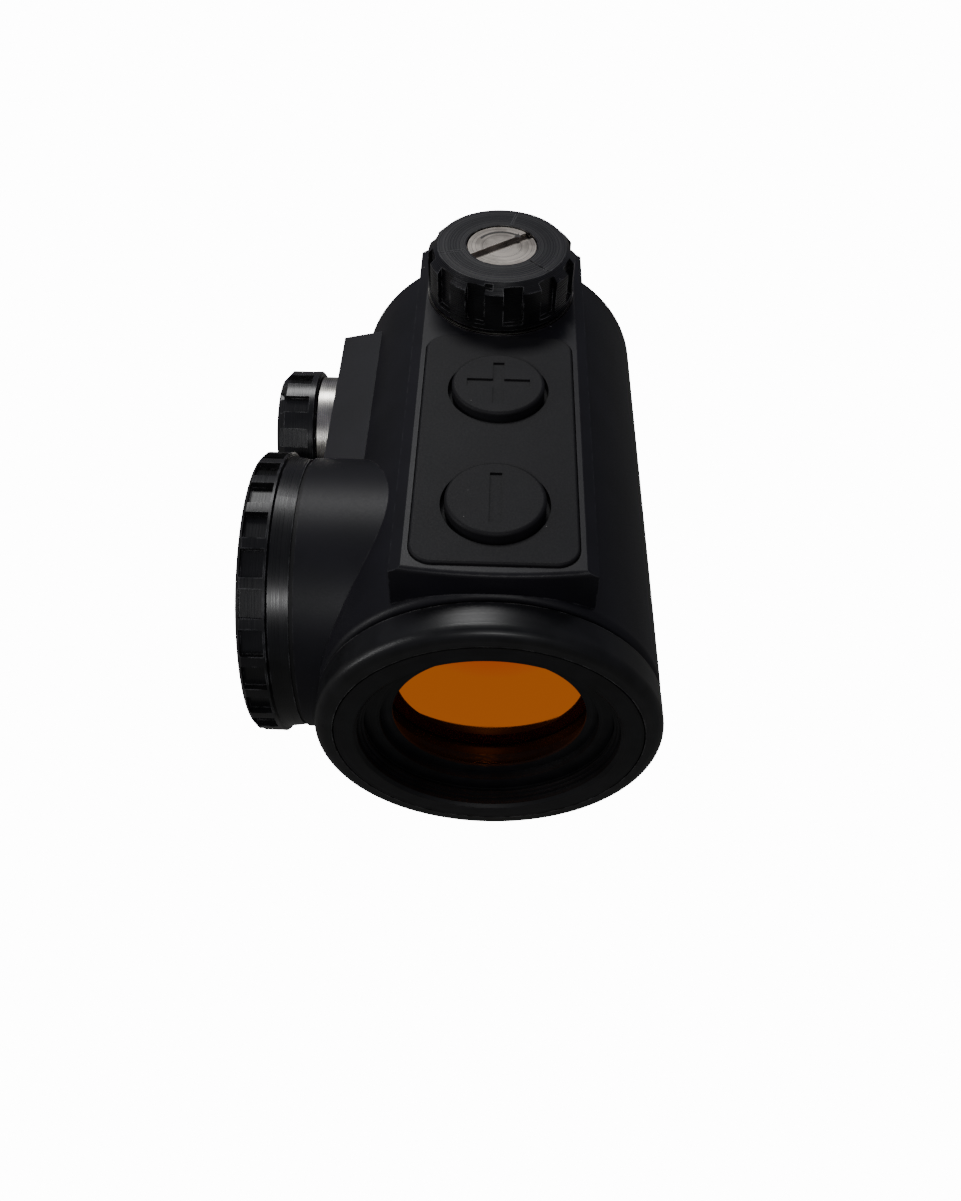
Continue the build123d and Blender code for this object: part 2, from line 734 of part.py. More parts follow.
    with BuildPart() as click_ball:
        with BuildSketch(turret_plane(seat + click_ball_height)):
            with Locations((click_radius, 0)):
                Circle(click_ball_radius)
                Rectangle(
                    4 * click_ball_radius,
                    4 * click_ball_radius,
                    align=(Align.CENTER, Align.MIN),
                    mode=Mode.SUBTRACT,
                )
        revolve(axis=Axis(turret_plane(seat + click_ball_height).origin, turret_plane(0).x_dir))
    save(click_ball, f"{side}_click_ball")

# ---------------------------------------------------------------- keypad
with BuildPart() as keypad_mat:
    with BuildSketch(level(pad_bottom)):
        with Locations((0, pad_middle)):
            RectangleRounded(2 * pad_half_width, pad_length, pad_corner)
    extrude(amount=pad_top - pad_bottom)
    fillet(keypad_mat.faces().sort_by(Axis.Z)[-1].edges(), radius=0.25)
    with BuildSketch(level(pad_bottom + pad_web)):
        with Locations((0, minus_station), (0, plus_station)):
            Circle(button_radius + button_ring_gap)
    extrude(amount=deck_top, mode=Mode.SUBTRACT)
    with BuildSketch(level(pad_bottom)):
        with Locations((0, minus_station), (0, plus_station)):
            Circle(button_stem_radius + 2 * loose_gap)
    extrude(amount=pad_web, mode=Mode.SUBTRACT)
save(keypad_mat, "keypad_mat")

for name, station in (("plus", plus_station), ("minus", minus_station)):
    with BuildPart() as button:
        with BuildSketch(level(button_bottom)):
            with Locations((0, station)):
                Circle(button_radius)
        extrude(amount=button_top - button_bottom)
        fillet(button.faces().sort_by(Axis.Z)[-1].edges(), radius=0.4)
        with BuildSketch(level(button_bottom)):
            with Locations((0, station)):
                Circle(button_stem_radius)
        extrude(amount=dome_top + button_travel + moving_gap - button_bottom)
        with BuildSketch(level(button_top)):
            with Locations((0, station)):
                Rectangle(mark_width, mark_length)
                if name == "plus":
                    Rectangle(mark_length, mark_width)
        extrude(amount=-mark_depth, mode=Mode.SUBTRACT)
    save(button, f"{name}_button")

with BuildPart() as button_board:
    with BuildSketch(level(board_floor)):
        with Locations((0, pad_middle)):
            RectangleRounded(2 * board_half_width, board_length, 1.0)
        with Locations((0, board_screw_front), (0, board_screw_rear)):
            Circle(board_screw_radius + loose_gap, mode=Mode.SUBTRACT)
    extrude(amount=board_thickness)
save(button_board, "button_board")

with BuildPart() as dome_switches:
    with BuildSketch(level(board_floor + board_thickness)):
        with Locations((0, minus_station), (0, plus_station)):
            Circle(dome_radius)
    extrude(amount=dome_height)
save(dome_switches, "dome_switches")

with BuildPart() as board_screws:
    with BuildSketch(level(board_floor + board_thickness)):
        with Locations((0, board_screw_front), (0, board_screw_rear)):
            Circle(2 * board_screw_radius)
    extrude(amount=0.5)
    with BuildSketch(level(board_floor + board_thickness)):
        with Locations((0, board_screw_front), (0, board_screw_rear)):
            Circle(board_screw_radius)
    extrude(amount=-board_thickness - board_screw_depth)
save(board_screws, "board_screws")

# ---------------------------------------------------------------- battery compartment
with BuildPart() as control_board:
    with BuildSketch(battery_plane(well_floor + loose_gap)):
        Circle(cell_radius)
    extrude(amount=control_board_thickness)
save(control_board, "control_board")

with BuildPart() as battery_insulator:
    with BuildSketch(battery_plane(well_floor)):
        Circle(well_radius - loose_gap)
        Circle(cell_radius + loose_gap, mode=Mode.SUBTRACT)
    extrude(amount=cell_outer_face - well_floor)
    with BuildSketch(battery_plane(well_floor)):
        with Locations((0, -well_radius)):
            Rectangle(4.0, 4.0)
    extrude(amount=2.2, mode=Mode.SUBTRACT)
save(battery_insulator, "battery_insulator")

with BuildPart() as battery_minus_contact:
    with BuildSketch(battery_plane(cell_inner_face - minus_contact_height)):
        Rectangle(7.0, 7.0)
    extrude(amount=0.25)
    with BuildSketch(battery_plane(cell_inner_face - minus_contact_height)):
        Circle(1.8)
    extrude(amount=minus_contact_height)
save(battery_minus_contact, "battery_minus_contact")

with BuildPart() as coin_cell:
    with BuildSketch(battery_plane(cell_inner_face)):
        Circle(cell_radius - 1.1)
    extrude(amount=0.4)
    with BuildSketch(battery_plane(cell_inner_face + 0.4)):
        Circle(cell_radius)
    extrude(amount=cell_thickness - 0.4)
save(coin_cell, "coin_cell")

with BuildPart(battery_plane(barrel_reach + seal_thickness / 2)) as battery_cap_seal:
    with BuildSketch(battery_plane(barrel_reach + loose_gap / 4)):
        Circle(cap_seal_radius)
        Circle(neck_radius + running_gap, mode=Mode.SUBTRACT)
    extrude(amount=seal_thickness)
save(battery_cap_seal, "battery_cap_seal")

# Screw-on cap: tapered band, gripping rim with closed pockets, and a coin slot in its face.
with BuildPart() as battery_cap:
    with BuildSketch(battery_section):
        with BuildLine():
            Polyline(
                (cap_outer_face, 0),
                (cap_boss_face, 0),
                (cap_boss_face, cell_radius - 0.5),
                (cap_inner_face, cell_radius - 0.5),
                (cap_inner_face, neck_radius + thread_gap),
                (cap_skirt_face, neck_radius + thread_gap),
                (cap_skirt_face, cap_skirt_radius),
                (cap_rim_start - 0.15, cap_band_radius),
                (cap_rim_start, cap_rim_radius),
                (cap_outer_face - 0.5, cap_rim_radius),
                (cap_outer_face, cap_rim_radius - 0.5),
                close=True,
            )
        make_face()
    revolve(axis=battery_axis)
    with BuildSketch(battery_plane(cap_rim_start + 0.25)):
        with PolarLocations(cap_rim_radius, cap_grips):
            Rectangle(2 * cap_grip_depth, cap_grip_width)
    extrude(amount=cap_outer_face - cap_rim_start - cap_lip - 0.25, mode=Mode.SUBTRACT)
    with BuildSketch(battery_plane(cap_outer_face)):
        Circle(cap_rim_radius - 3.0)
    extrude(amount=-0.4, mode=Mode.SUBTRACT)
    with BuildSketch(battery_plane(cap_outer_face - 0.4)):
        SlotOverall(16.0, cap_coin_slot_width)
    extrude(amount=-cap_coin_slot_depth, mode=Mode.SUBTRACT)
save(battery_cap, "battery_cap")

with BuildPart() as battery_plus_contact:
    with BuildSketch(battery_plane(cap_boss_face - 0.3)):
        Circle(7.0)
        Circle(2.5, mode=Mode.SUBTRACT)
    extrude(amount=0.3)
    with BuildSketch(battery_plane(cell_outer_face + moving_gap)):
        with PolarLocations(5.0, 3):
            Circle(0.9)
    extrude(amount=plus_contact_height - moving_gap)
save(battery_plus_contact, "battery_plus_contact")

with BuildPart() as wire_loom:
    with BuildSketch(Plane(origin=wire_start, z_dir=wire_way)):
        Circle(wire_radius)
    extrude(amount=wire_length)
save(wire_loom, "wire_loom")
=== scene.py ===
import math

import bmesh
import bpy
from mathutils import Matrix, Vector


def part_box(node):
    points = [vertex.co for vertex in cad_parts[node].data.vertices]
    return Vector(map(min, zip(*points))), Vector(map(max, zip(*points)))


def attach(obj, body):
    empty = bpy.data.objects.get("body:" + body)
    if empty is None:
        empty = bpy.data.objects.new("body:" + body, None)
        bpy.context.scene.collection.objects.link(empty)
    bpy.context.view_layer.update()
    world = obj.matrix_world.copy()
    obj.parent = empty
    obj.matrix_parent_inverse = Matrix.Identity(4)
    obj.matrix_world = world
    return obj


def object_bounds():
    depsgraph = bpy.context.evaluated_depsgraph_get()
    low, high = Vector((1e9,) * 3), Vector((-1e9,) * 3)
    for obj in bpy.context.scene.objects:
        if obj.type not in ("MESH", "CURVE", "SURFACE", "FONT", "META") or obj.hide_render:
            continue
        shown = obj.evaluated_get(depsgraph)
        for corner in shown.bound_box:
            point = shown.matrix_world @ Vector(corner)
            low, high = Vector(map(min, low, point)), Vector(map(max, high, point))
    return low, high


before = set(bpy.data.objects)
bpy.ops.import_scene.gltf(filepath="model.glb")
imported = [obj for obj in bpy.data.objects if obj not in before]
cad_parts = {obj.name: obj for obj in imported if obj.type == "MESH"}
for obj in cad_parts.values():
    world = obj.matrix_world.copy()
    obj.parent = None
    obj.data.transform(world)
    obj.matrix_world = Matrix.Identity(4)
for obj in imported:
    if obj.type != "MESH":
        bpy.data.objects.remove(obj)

cad_box = [list(corner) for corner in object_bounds()]
mm = 0.001
scene = bpy.context.scene

# The sight line, found from the ring that holds the objective, and the level of the table.
ring_low, ring_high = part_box("front_bezel_ring")
front = ring_low.y
axis_x = (ring_low.x + ring_high.x) / 2
axis_z = (ring_low.z + ring_high.z) / 2
table_z = cad_box[0][2]

# ------------------------------------------------------------------ table, light and camera
# A white table top under the sight, a dim studio round it, a soft lamp overhead, small ones at
# the side and in front, and a stretch of lit table that only the objective's coating reflects.
camera_white = 14.0


def link(tree, source, target):
    tree.links.new(source, target)


def seen_and_cast(tree, output, seen_strength, cast_color, cast_strength, kind):
    """White where it is looked at directly, and this much dimmer as light on the sight."""
    nodes = tree.nodes
    ray = nodes.new("ShaderNodeLightPath")
    cast = nodes.new(kind)
    cast.inputs["Color"].default_value = (*cast_color, 1)
    cast.inputs["Strength"].default_value = cast_strength
    seen = nodes.new(kind)
    seen.inputs["Color"].default_value = (1, 1, 1, 1)
    seen.inputs["Strength"].default_value = seen_strength
    mix = nodes.new("ShaderNodeMixShader")
    link(tree, ray.outputs["Is Camera Ray"], mix.inputs["Fac"])
    link(tree, cast.outputs[0], mix.inputs[1])
    link(tree, seen.outputs[0], mix.inputs[2])
    link(tree, mix.outputs[0], output.inputs["Surface"])


reach = 3.0
table_mesh = bpy.data.meshes.new("table")
table_mesh.from_pydata(
    [(-reach, -reach, table_z), (reach, -reach, table_z), (reach, reach, table_z), (-reach, reach, table_z)],
    [],
    [(0, 1, 2, 3)],
)
table = bpy.data.objects.new("table", table_mesh)
scene.collection.objects.link(table)
table_paint = bpy.data.materials.new("table_paint")
table_paint.use_nodes = True
table_paint.node_tree.nodes.clear()
table_output = table_paint.node_tree.nodes.new("ShaderNodeOutputMaterial")
seen_and_cast(table_paint.node_tree, table_output, camera_white, (1.0, 0.99, 0.97), 0.12, "ShaderNodeEmission")
table.data.materials.append(table_paint)

world = bpy.data.worlds.new("studio")
world.use_nodes = True
world.node_tree.nodes.clear()
world_output = world.node_tree.nodes.new("ShaderNodeOutputWorld")
seen_and_cast(world.node_tree, world_output, camera_white, (0.84, 0.84, 1.0), 0.17, "ShaderNodeBackground")
scene.world = world


def soft_light(name, place, aim, width, depth, power):
    lamp = bpy.data.lights.new(name, "AREA")
    lamp.shape = "RECTANGLE"
    lamp.size = width
    lamp.size_y = depth
    lamp.energy = power
    stand = bpy.data.objects.new(name, lamp)
    stand.location = place
    stand.rotation_euler = (Vector(aim) - Vector(place)).to_track_quat("-Z", "Y").to_euler()
    scene.collection.objects.link(stand)
    return stand


middle = Vector((axis_x, (cad_box[0][1] + cad_box[1][1]) / 2, axis_z))
for name, offset, width, depth, power in (
    ("ceiling_light", (-0.12, 0.42, 0.55), 0.3, 0.16, 1.5),
    ("side_light", (-0.45, -0.12, 0.16), 0.08, 0.3, 0.55),
    ("window_light", (0.02, -0.55, 0.5), 0.1, 0.07, 0.9),
):
    soft_light(name, middle + Vector(offset), middle, width, depth, power)
card_reach = 80 * mm
card_lift = 0.5 * mm
card_place = Vector((axis_x, front - card_reach, table_z + card_lift))
front_card = soft_light("front_table", card_place, card_place + Vector((0, 0, 1)), 0.3, 0.2, 0.045)
coated_glass = bpy.data.collections.new("coated_glass")
coated_glass.objects.link(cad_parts["objective_front_element"])
front_card.light_linking.receiver_collection = coated_glass

camera_data = bpy.data.cameras.new("camera")
camera_data.lens = 31.83
camera_data.sensor_width = 36
camera_data.shift_x = -0.0089
camera_data.shift_y = 0.0041
camera_data.clip_start = 0.005
camera = bpy.data.objects.new("camera", camera_data)
eye_left = 0.33 * mm
eye_ahead = 60.71 * mm
eye_above = 96.40 * mm
eye = Vector((axis_x - eye_left, front - eye_ahead, axis_z + eye_above))
looking_down = 50.475
turn = math.radians(-0.162)
tip = math.radians(90 - looking_down)
roll = math.radians(1.701)
camera.matrix_world = (
    Matrix.Translation(eye)
    @ Matrix.Rotation(turn, 4, "Z")
    @ Matrix.Rotation(tip, 4, "X")
    @ Matrix.Rotation(roll, 4, "Z")
)
scene.collection.objects.link(camera)
scene.camera = camera

# ------------------------------------------------------------------ housing
# One piece machined from aluminium bar, bead blasted and anodised satin black.
# Its edges have begun to rub bright, and a few specks of dust lie on it.
def start_material(name, base, metal, roughness):
    """A new material, with its shader, the mesh's own coordinates and its node tree."""
    made = bpy.data.materials.new(name)
    made.use_nodes = True
    tree = made.node_tree
    shader = tree.nodes["Principled BSDF"]
    shader.inputs["Base Color"].default_value = (*base, 1)
    shader.inputs["Metallic"].default_value = metal
    shader.inputs["Roughness"].default_value = roughness
    where = tree.nodes.new("ShaderNodeTexCoord").outputs["Object"]
    return made, tree, shader, where


def noise(tree, where, scale, detail=3.0):
    node = tree.nodes.new("ShaderNodeTexNoise")
    node.inputs["Scale"].default_value = scale
    node.inputs["Detail"].default_value = detail
    link(tree, where, node.inputs["Vector"])
    return node.outputs["Fac"]


def remap(tree, value, low, high, to_low, to_high):
    node = tree.nodes.new("ShaderNodeMapRange")
    node.inputs["From Min"].default_value = low
    node.inputs["From Max"].default_value = high
    node.inputs["To Min"].default_value = to_low
    node.inputs["To Max"].default_value = to_high
    link(tree, value, node.inputs["Value"])
    return node.outputs["Result"]


def maths(tree, operation, first, second):
    node = tree.nodes.new("ShaderNodeMath")
    node.operation = operation
    for socket, value in zip(node.inputs, (first, second)):
        if isinstance(value, (int, float)):
            socket.default_value = value
        else:
            link(tree, value, socket)
    return node.outputs["Value"]


def blend_colors(tree, amount, under, over):
    """Under where the amount is 0 and over where it is 1; each is a colour or a socket."""
    node = tree.nodes.new("ShaderNodeMix")
    node.data_type = "RGBA"
    link(tree, amount, node.inputs["Factor"])
    for socket, value in ((node.inputs["A"], under), (node.inputs["B"], over)):
        if isinstance(value, tuple):
            socket.default_value = (*value, 1)
        else:
            link(tree, value, socket)
    return node.outputs["Result"]


def rubbed_edges(tree, where, radius, low, high):
    """1 along sharp outer edges and 0 on flat faces, broken up as handling leaves it."""
    rounded = tree.nodes.new("ShaderNodeBevel")
    rounded.samples = 4
    rounded.inputs["Radius"].default_value = radius
    true_face = tree.nodes.new("ShaderNodeNewGeometry")
    same = tree.nodes.new("ShaderNodeVectorMath")
    same.operation = "DOT_PRODUCT"
    link(tree, rounded.outputs["Normal"], same.inputs[0])
    link(tree, true_face.outputs["Normal"], same.inputs[1])
    edge = remap(tree, same.outputs["Value"], high, low, 0.0, 1.0)
    patchy = remap(tree, noise(tree, where, 700.0), 0.42, 0.62, 0.0, 1.0)
    return maths(tree, "MULTIPLY", edge, patchy)


def dust(tree, where, spacing, size):
    """Small round specks, about one in every few cells of this spacing."""
    cells = tree.nodes.new("ShaderNodeTexVoronoi")
    cells.inputs["Scale"].default_value = 1.0 / spacing
    link(tree, where, cells.inputs["Vector"])
    speck = remap(tree, cells.outputs["Distance"], size / spacing, 0.6 * size / spacing, 0.0, 1.0)
    chosen = tree.nodes.new("ShaderNodeSeparateColor")
    link(tree, cells.outputs["Color"], chosen.inputs["Color"])
    return maths(tree, "MULTIPLY", speck, maths(tree, "GREATER_THAN", chosen.outputs["Red"], 0.72))


def bump(tree, shader, height, strength, distance):
    node = tree.nodes.new("ShaderNodeBump")
    node.inputs["Strength"].default_value = strength
    node.inputs["Distance"].default_value = distance
    link(tree, height, node.inputs["Height"])
    link(tree, node.outputs["Normal"], shader.inputs["Normal"])


def anodise(name, base, worn, roughness, edge_radius, specular):
    """A blasted and anodised finish, clouded, with rubbed edges and specks of dust."""
    made, tree, shader, where = start_material(name, base, 0.0, roughness)
    shader.inputs["Specular IOR Level"].default_value = specular
    lighter = tuple(1.5 * part for part in base)
    cloudy = blend_colors(tree, remap(tree, noise(tree, where, 160.0), 0.35, 0.65, 0.0, 1.0), base, lighter)
    rubbed = blend_colors(tree, rubbed_edges(tree, where, edge_radius, 0.9, 0.995), cloudy, worn)
    dusty = blend_colors(tree, dust(tree, where, 3.2 * mm, 0.09 * mm), rubbed, (0.32, 0.31, 0.3))
    link(tree, dusty, shader.inputs["Base Color"])
    fine = noise(tree, where, 9000.0, 4.0)
    link(tree, remap(tree, fine, 0.3, 0.7, roughness - 0.05, roughness + 0.07), shader.inputs["Roughness"])
    bump(tree, shader, fine, 0.35, 0.012 * mm)
    return made


def finish(material, *nodes):
    """Gives CAD nodes their finish."""
    for node in nodes:
        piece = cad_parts[node]
        piece.data.materials.clear()
        piece.data.materials.append(material)


body_anodise = anodise(
    "body_anodise",
    base=(0.0068, 0.0064, 0.0088),
    worn=(0.05, 0.05, 0.055),
    roughness=0.44,
    edge_radius=0.22 * mm,
    specular=0.32,
)
finish(body_anodise, "housing")

# ------------------------------------------------------------------ objective end
# A bezel ring with pockets in its rim is trapped by a turned insert that presses on a cemented
# doublet. The glass carries a coating that throws back orange and lets the rest through.
def turned(name, base, metal, roughness, specular, centre, axis, pitch, depth, worn=None, edge=0.2 * mm):
    """A lathe-turned finish, with fine rings round the axis through this centre."""
    made, tree, shader, where = start_material(name, base, metal, roughness)
    shader.inputs["Specular IOR Level"].default_value = specular
    shift = tree.nodes.new("ShaderNodeVectorMath")
    shift.operation = "SUBTRACT"
    shift.inputs[1].default_value = centre
    link(tree, where, shift.inputs[0])
    parts = tree.nodes.new("ShaderNodeSeparateXYZ")
    link(tree, shift.outputs["Vector"], parts.inputs["Vector"])
    across = [parts.outputs[letter] for letter in "XYZ" if letter != axis]
    squares = [maths(tree, "MULTIPLY", part, part) for part in across]
    radius = maths(tree, "SQRT", maths(tree, "ADD", squares[0], squares[1]), 0.0)
    rings = tree.nodes.new("ShaderNodeCombineXYZ")
    link(tree, maths(tree, "DIVIDE", radius, pitch), rings.inputs["X"])
    link(tree, maths(tree, "DIVIDE", parts.outputs[axis], pitch), rings.inputs["Y"])
    marks = noise(tree, rings.outputs["Vector"], 1.0, 2.0)
    grime = noise(tree, where, 420.0)
    darker = tuple(0.55 * part for part in base)
    color = blend_colors(tree, remap(tree, grime, 0.38, 0.66, 0.0, 1.0), base, darker)
    if worn:
        color = blend_colors(tree, rubbed_edges(tree, where, edge, 0.88, 0.99), color, worn)
    color = blend_colors(tree, dust(tree, where, 3.6 * mm, 0.08 * mm), color, (0.3, 0.3, 0.29))
    link(tree, color, shader.inputs["Base Color"])
    link(tree, remap(tree, marks, 0.3, 0.7, roughness - 0.06, roughness + 0.08), shader.inputs["Roughness"])
    bump(tree, shader, marks, 0.5, depth)
    return made


sight_centre = Vector((axis_x, front, axis_z))
bezel_black = turned(
    "bezel_black",
    base=(0.011, 0.011, 0.012),
    metal=0.0,
    roughness=0.36,
    specular=0.4,
    centre=sight_centre,
    axis="Y",
    pitch=0.12 * mm,
    depth=0.01 * mm,
    worn=(0.12, 0.12, 0.12),
)
throat_black = turned(
    "throat_black",
    base=(0.0075, 0.0075, 0.0085),
    metal=0.0,
    roughness=0.42,
    specular=0.3,
    centre=sight_centre,
    axis="Y",
    pitch=0.18 * mm,
    depth=0.02 * mm,
)
finish(bezel_black, "front_bezel_ring")
finish(throat_black, "lens_retaining_ring")

lens_low, lens_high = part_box("objective_front_element")
coating, coating_tree, coating_shader, coating_where = start_material(
    "orange_coating", base=(0.9, 0.2, 0.01), metal=1.0, roughness=0.03
)
# Painted reflection tint: the coating is painted red-orange at its top middle and amber toward its bottom and
# sides. This stands in for its reflected colour shifting with the viewing angle; the real glass is the same
# colour all over.
place = coating_tree.nodes.new("ShaderNodeSeparateXYZ")
link(coating_tree, coating_where, place.inputs["Vector"])
height = remap(coating_tree, place.outputs["Z"], lens_low.z, lens_high.z, -1.0, 1.0)
width = remap(coating_tree, place.outputs["X"], lens_low.x, lens_high.x, -1.0, 1.0)
spread = maths(coating_tree, "MULTIPLY", maths(coating_tree, "MULTIPLY", width, width), 1.1)
painted_angle_amber = maths(coating_tree, "ADD", remap(coating_tree, height, 0.3, 0.98, 1.0, 0.0), spread)
painted_angle_amber = maths(coating_tree, "MINIMUM", painted_angle_amber, 1.0)
painted_angle_tint = blend_colors(coating_tree, painted_angle_amber, (1.0, 0.035, 0.004), (1.0, 0.22, 0.002))
link(coating_tree, painted_angle_tint, coating_shader.inputs["Base Color"])
smear = noise(coating_tree, coating_where, 260.0)
link(coating_tree, remap(coating_tree, smear, 0.4, 0.75, 0.02, 0.07), coating_shader.inputs["Roughness"])
finish(coating, "objective_front_element")

clear_glass, glass_tree, glass_shader, glass_where = start_material("clear_glass", (0.75, 0.9, 0.95), 0.0, 0.02)
glass_shader.inputs["Transmission Weight"].default_value = 1.0
glass_shader.inputs["IOR"].default_value = 1.52
glass_film = noise(glass_tree, glass_where, 300.0)
link(glass_tree, remap(glass_tree, glass_film, 0.4, 0.8, 0.015, 0.06), glass_shader.inputs["Roughness"])
film_spread = remap(glass_tree, glass_film, 0.3, 0.7, 0.0, 1.0)
film_color = blend_colors(glass_tree, film_spread, (0.62, 0.85, 0.9), (0.8, 0.92, 0.96))
link(glass_tree, film_color, glass_shader.inputs["Base Color"])
finish(clear_glass, "objective_rear_element")

# Two fine ridges run round the throat's front bore to kill glare.
def ring_mesh(name, section, centre):
    """A closed ring: the section's (radius, depth) corners carried round the sight line."""
    steps = 192
    form = bmesh.new()
    loops = []
    for step in range(steps):
        angle = 2 * math.pi * step / steps
        loop = []
        for radius, depth in section:
            side, up = radius * math.cos(angle), radius * math.sin(angle)
            loop.append(form.verts.new(centre + Vector((side, depth, up))))
        loops.append(loop)
    for step in range(steps):
        here, after = loops[step], loops[(step + 1) % steps]
        for corner in range(len(section)):
            following = (corner + 1) % len(section)
            form.faces.new((here[corner], here[following], after[following], after[corner]))
    bmesh.ops.recalc_face_normals(form, faces=form.faces)
    mesh = bpy.data.meshes.new(name)
    form.to_mesh(mesh)
    form.free()
    piece = bpy.data.objects.new(name, mesh)
    scene.collection.objects.link(piece)
    return piece


def clothe(piece, material, body):
    """Gives a new piece its finish and the body it moves with."""
    piece.data.materials.append(material)
    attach(piece, body)


ridge_start = 1.75 * mm
ridge_gap = 0.28 * mm
ridge_rise = 0.2 * mm
ridge_root = 0.02 * mm
bore_radius = 13.7 * mm
for number in range(2):
    depth = ridge_start + number * ridge_gap
    section = (
        (bore_radius + ridge_root, depth),
        (bore_radius - ridge_rise, depth + 0.45 * ridge_gap),
        (bore_radius + ridge_root, depth + 0.9 * ridge_gap),
    )
    ridge = ring_mesh(f"throat_ridge_{number + 1}", section, sight_centre)
    clothe(ridge, throat_black, "sight_body")

# ------------------------------------------------------------------ eyepiece end
# A coated window sits on a rubber seal, held by a threaded ring with two spanner slots.
finish(clear_glass, "rear_window")
finish(bezel_black, "rear_retaining_ring")


def rubber(name, base, roughness, grain):
    """Matt moulded rubber or plastic with a slight bloom and specks of dust."""
    made, tree, shader, where = start_material(name, base, 0.0, roughness)
    shader.inputs["Specular IOR Level"].default_value = 0.3
    fine = noise(tree, where, 7000.0, 4.0)
    bloom = remap(tree, noise(tree, where, 240.0), 0.38, 0.7, 0.0, 1.0)
    color = blend_colors(tree, bloom, base, tuple(1.35 * part for part in base))
    color = blend_colors(tree, dust(tree, where, 2.6 * mm, 0.07 * mm), color, (0.24, 0.23, 0.22))
    link(tree, color, shader.inputs["Base Color"])
    link(tree, remap(tree, fine, 0.3, 0.7, roughness - 0.06, roughness + 0.06), shader.inputs["Roughness"])
    bump(tree, shader, fine, grain, 0.02 * mm)
    return made


seal_rubber = rubber("seal_rubber", base=(0.012, 0.012, 0.012), roughness=0.5, grain=0.2)
finish(
    seal_rubber,
    "rear_window_seal",
    "objective_seal",
    "elevation_knob_seal",
    "windage_knob_seal",
    "battery_cap_seal",
)

# ------------------------------------------------------------------ inner tube and gimbal
# A thin black tube hangs in a gimbal behind the objective and is pushed by the two screws
# against an arched steel spring. It carries the emitter on a small moulded block.
tube_black = anodise(
    "tube_black",
    base=(0.02, 0.02, 0.021),
    worn=(0.1, 0.1, 0.1),
    roughness=0.6,
    edge_radius=0.15 * mm,
    specular=0.25,
)
finish(tube_black, "inner_tube", "gimbal_ring")
bright_steel = turned(
    "bright_steel",
    base=(0.56, 0.56, 0.57),
    metal=1.0,
    roughness=0.28,
    specular=0.5,
    centre=sight_centre,
    axis="Y",
    pitch=0.1 * mm,
    depth=0.008 * mm,
)
finish(
    bright_steel,
    "gimbal_side_pins",
    "gimbal_upright_pins",
    "bias_spring",
    "board_screws",
    "elevation_click_ball",
    "windage_click_ball",
    "battery_minus_contact",
    "battery_plus_contact",
    "coin_cell",
    "dome_switches",
)
moulded_black = rubber("moulded_black", base=(0.018, 0.018, 0.018), roughness=0.42, grain=0.15)
finish(moulded_black, "emitter_holder", "battery_insulator", "wire_loom")
red_epoxy, epoxy_tree, epoxy_shader, epoxy_where = start_material("red_epoxy", (0.7, 0.05, 0.04), 0.0, 0.2)
epoxy_swirl = remap(epoxy_tree, noise(epoxy_tree, epoxy_where, 2500.0), 0.3, 0.7, 0.0, 1.0)
link(
    epoxy_tree,
    blend_colors(epoxy_tree, epoxy_swirl, (0.7, 0.05, 0.04), (0.5, 0.02, 0.02)),
    epoxy_shader.inputs["Base Color"],
)
finish(red_epoxy, "led_emitter")
turned_brass = turned(
    "turned_brass",
    base=(0.62, 0.43, 0.16),
    metal=1.0,
    roughness=0.27,
    specular=0.5,
    centre=sight_centre,
    axis="Y",
    pitch=0.1 * mm,
    depth=0.008 * mm,
)
finish(turned_brass, "elevation_plunger", "windage_plunger")

# ------------------------------------------------------------------ turrets
# Each screw has a bare turned ring in the housing, a black knob with milled grips and rubbed
# edges, and a nickel-plated slotted disc. Fine index lines are cut in the knob's top.
elevation_low, elevation_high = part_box("elevation_knob")
windage_low, windage_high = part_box("windage_knob")
elevation_centre = (elevation_low + elevation_high) / 2
windage_centre = (windage_low + windage_high) / 2
for side, centre, axis in (("elevation", elevation_centre, "Z"), ("windage", windage_centre, "X")):
    bare_ring = turned(
        f"{side}_bare_ring",
        base=(0.66, 0.64, 0.59),
        metal=1.0,
        roughness=0.26,
        specular=0.5,
        centre=centre,
        axis=axis,
        pitch=0.09 * mm,
        depth=0.014 * mm,
    )
    knob_black = turned(
        f"{side}_knob_black",
        base=(0.0085, 0.0085, 0.0095),
        metal=0.0,
        roughness=0.25,
        specular=0.55,
        centre=centre,
        axis=axis,
        pitch=0.11 * mm,
        depth=0.006 * mm,
        worn=(0.2, 0.2, 0.205),
        edge=0.16 * mm,
    )
    plated_disc = turned(
        f"{side}_plated_disc",
        base=(0.5, 0.46, 0.41),
        metal=1.0,
        roughness=0.3,
        specular=0.5,
        centre=centre,
        axis=axis,
        pitch=0.1 * mm,
        depth=0.012 * mm,
        worn=(0.75, 0.73, 0.68),
        edge=0.18 * mm,
    )
    finish(bare_ring, f"{side}_turret_base")
    finish(knob_black, f"{side}_knob")
    finish(plated_disc, f"{side}_adjuster_screw")

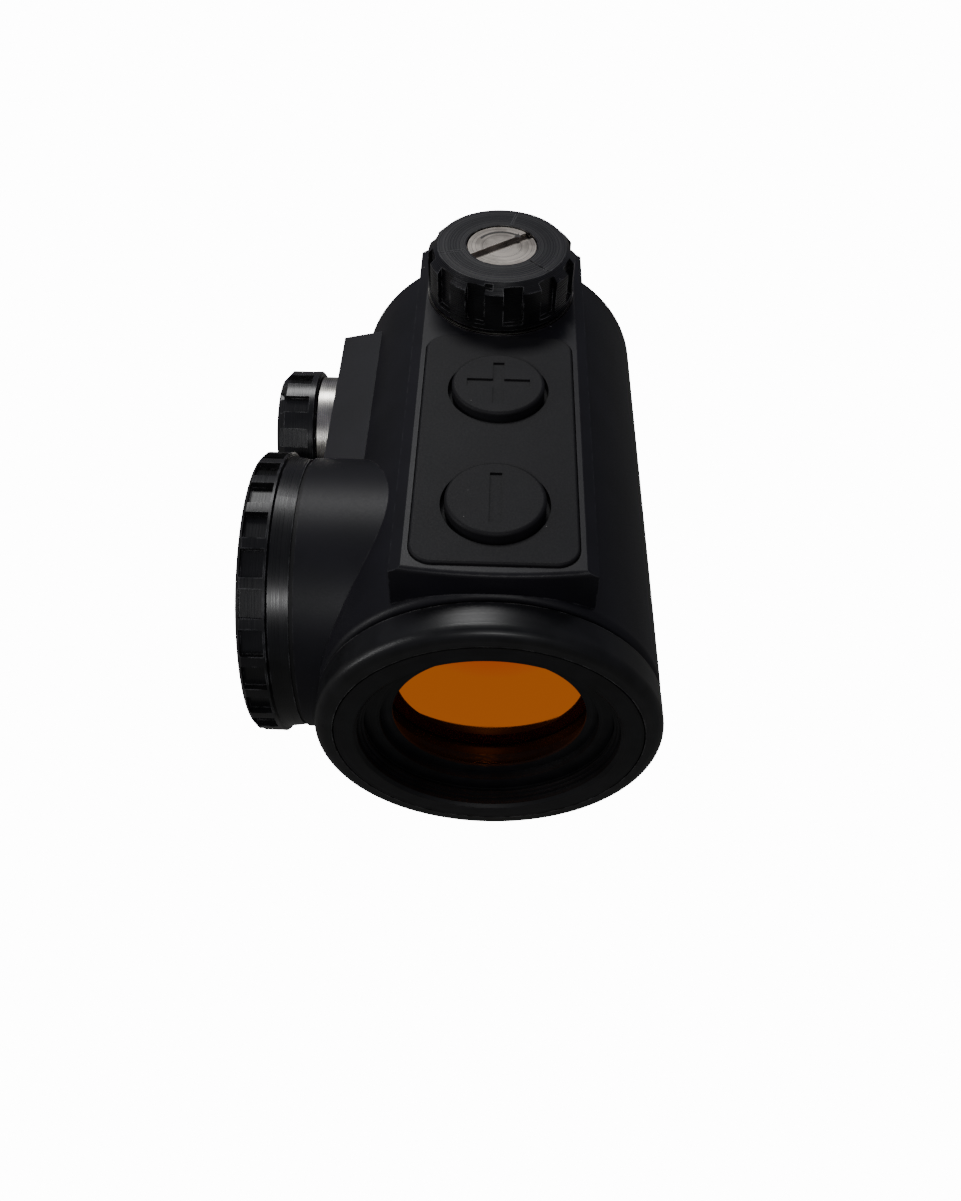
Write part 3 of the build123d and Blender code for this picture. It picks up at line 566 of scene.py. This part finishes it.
# A thin dark curved arrow laid on each disc shows which way to turn it.
def stamped_arrow(name, centre, axis, face, outward):
    """A flat arc with a head, a hair proud of the disc's face."""
    inner, outer = 2.75 * mm, 3.05 * mm
    barb = 0.35 * mm
    thickness = 0.012 * mm
    start, sweep, head_share = 150.0, -95.0, 1.16
    steps = 28
    form = bmesh.new()

    def corners(share, *radii):
        """The lower and upper corner at each radius, this share of the way along the sweep."""
        angle = math.radians(start + sweep * share)
        made = []
        for radius in radii:
            first, second = radius * math.cos(angle), radius * math.sin(angle)
            for lift in (0.0, thickness):
                rise = face + outward * lift
                if axis == "Z":
                    made.append(form.verts.new((centre.x + first, centre.y + second, rise)))
                else:
                    made.append(form.verts.new((rise, centre.y + first, centre.z + second)))
        return made

    rows = [corners(step / steps, inner, outer) for step in range(steps + 1)]
    for here, after in zip(rows, rows[1:]):
        for one, two in ((0, 1), (1, 3), (3, 2), (2, 0)):
            form.faces.new((here[one], here[two], after[two], after[one]))
    for row in (rows[0], rows[-1]):
        form.faces.new((row[0], row[2], row[3], row[1]))
    base = corners(1.0, inner - barb, outer + barb)
    tip = corners(head_share, (inner + outer) / 2)
    form.faces.new((base[1], base[3], tip[1]))
    form.faces.new((base[0], tip[0], base[2]))
    form.faces.new((base[0], base[1], tip[1], tip[0]))
    form.faces.new((base[3], base[2], tip[0], tip[1]))
    form.faces.new((base[0], base[2], base[3], base[1]))
    bmesh.ops.recalc_face_normals(form, faces=form.faces)
    mesh = bpy.data.meshes.new(name)
    form.to_mesh(mesh)
    form.free()
    piece = bpy.data.objects.new(name, mesh)
    scene.collection.objects.link(piece)
    return piece


stamp_dark = anodise(
    "stamp_dark",
    base=(0.03, 0.027, 0.024),
    worn=(0.2, 0.2, 0.2),
    roughness=0.5,
    edge_radius=0.05 * mm,
    specular=0.4,
)
top_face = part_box("elevation_adjuster_screw")[1].z
elevation_arrow = stamped_arrow("elevation_turn_arrow", elevation_centre, "Z", top_face, 1.0)
clothe(elevation_arrow, stamp_dark, "elevation_turret")
side_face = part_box("windage_adjuster_screw")[0].x
windage_arrow = stamped_arrow("windage_turn_arrow", windage_centre, "X", side_face, -1.0)
clothe(windage_arrow, stamp_dark, "windage_turret")

# ------------------------------------------------------------------ keypad
# A moulded rubber mat lies in the deck with two round buttons let into it, each with its
# sign sunk in its top. The rubber is matt, a shade lighter than the metal, and holds dust.
pad_rubber = rubber("pad_rubber", base=(0.0078, 0.0074, 0.0088), roughness=0.6, grain=0.4)
finish(pad_rubber, "keypad_mat", "plus_button", "minus_button")

# ------------------------------------------------------------------ battery compartment
# A screw-on cap with milled grips round its rim closes the barrel over a coin cell.
# The cap is turned and anodised a little glossier than the body, and its grips have rubbed.
cap_low, cap_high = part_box("battery_cap")
cap_black = turned(
    "cap_black",
    base=(0.009, 0.009, 0.01),
    metal=0.0,
    roughness=0.3,
    specular=0.45,
    centre=(cap_low + cap_high) / 2,
    axis="X",
    pitch=0.12 * mm,
    depth=0.008 * mm,
    worn=(0.13, 0.13, 0.135),
    edge=0.2 * mm,
)
finish(cap_black, "battery_cap")
board_green, board_tree, board_shader, board_where = start_material("board_green", (0.02, 0.12, 0.05), 0.0, 0.3)
weave = board_tree.nodes.new("ShaderNodeTexChecker")
weave.inputs["Scale"].default_value = 2500.0
weave.inputs["Color1"].default_value = (0.02, 0.13, 0.055, 1)
weave.inputs["Color2"].default_value = (0.016, 0.10, 0.042, 1)
link(board_tree, board_where, weave.inputs["Vector"])
link(board_tree, weave.outputs["Color"], board_shader.inputs["Base Color"])
finish(board_green, "button_board", "control_board")
